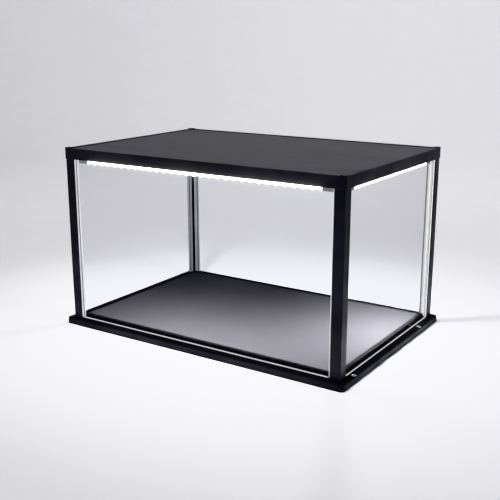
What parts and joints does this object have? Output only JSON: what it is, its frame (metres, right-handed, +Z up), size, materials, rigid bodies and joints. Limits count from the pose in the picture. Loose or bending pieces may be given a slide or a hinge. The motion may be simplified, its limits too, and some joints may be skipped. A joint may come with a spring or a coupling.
{
  "type": "glass display box",
  "caption": "Table-top glass display box with black corner posts, a grey floor, a lift-off lid with light bars, and a base rim drilled for screws.",
  "frame": {"origin": "middle of the base board's underside, on the table", "axes": "+Z up, +X to the right along the long front, -Y towards the front"},
  "size_m": [0.62, 0.42, 0.353],
  "materials": {
    "black_board": "black satin lacquer on fibreboard",
    "grey_floor": "grey satin anodised",
    "grey_top": "dark grey satin anodised",
    "black_frame": "black satin powder coat",
    "black_cap": "black moulded",
    "clear_glass": "clear float glass",
    "frosted_seal": "frosted translucent",
    "frosted_bead": "frosted translucent",
    "glazing_tape": "grey foam",
    "bright_steel": "bright nickel",
    "plain_aluminium": "mill finish",
    "white_tape": "white coated",
    "led_chip": "lit",
    "diffuser": "frosted translucent",
    "grey_plastic": "moulded",
    "black_plastic": "moulded",
    "lead_sheath": "soft sheath"
  },
  "bodies": {
    "case": {"base_board": "black_board", "floor_panel": "grey_floor", "screw_eyelets": "bright_steel", "post_screws": "bright_steel", "post_fl": "black_frame", "post_fr": "black_frame", "post_bl": "black_frame", "post_br": "black_frame", "post_bar_fl": "black_frame", "post_bar_fr": "black_frame", "post_bar_bl": "black_frame", "post_bar_br": "black_frame", "glass_front": "clear_glass", "glass_right": "clear_glass", "glass_back": "clear_glass", "glass_left": "clear_glass", "pane_seal_front": "frosted_seal", "pane_seal_right": "frosted_seal", "pane_seal_back": "frosted_seal", "pane_seal_left": "frosted_seal", "bead_x_fl": "frosted_bead", "bead_x_fr": "frosted_bead", "bead_x_bl": "frosted_bead", "bead_x_br": "frosted_bead", "bead_y_fl": "frosted_bead", "bead_y_fr": "frosted_bead", "bead_y_bl": "frosted_bead", "bead_y_br": "frosted_bead", "glazing_tapes": "glazing_tape"},
    "lid": {"lid_rail_front": "black_frame", "lid_rail_right": "black_frame", "lid_rail_back": "black_frame", "lid_rail_left": "black_frame", "lid_key_fl": "plain_aluminium", "lid_key_fr": "plain_aluminium", "lid_key_bl": "plain_aluminium", "lid_key_br": "plain_aluminium", "lid_cap_fl": "black_cap", "lid_cap_fr": "black_cap", "lid_cap_bl": "black_cap", "lid_cap_br": "black_cap", "lid_panel": "grey_top", "lid_pins": "bright_steel", "led_tape_front": "white_tape", "led_tape_right": "white_tape", "led_chips_front": "led_chip", "led_chips_right": "led_chip", "diffuser_front": "diffuser", "diffuser_right": "diffuser", "diffuser_ends": "grey_plastic", "power_inlet": "black_plastic", "lead_clips": "black_plastic", "lead_inlet": "lead_sheath", "lead_link": "lead_sheath"}
  },
  "joints": [
    {"name": "lid_lift", "type": "slide", "parent": "case", "child": "lid", "axis": [0, 0, 1], "range_m": [0, 0.15]}
  ]
}
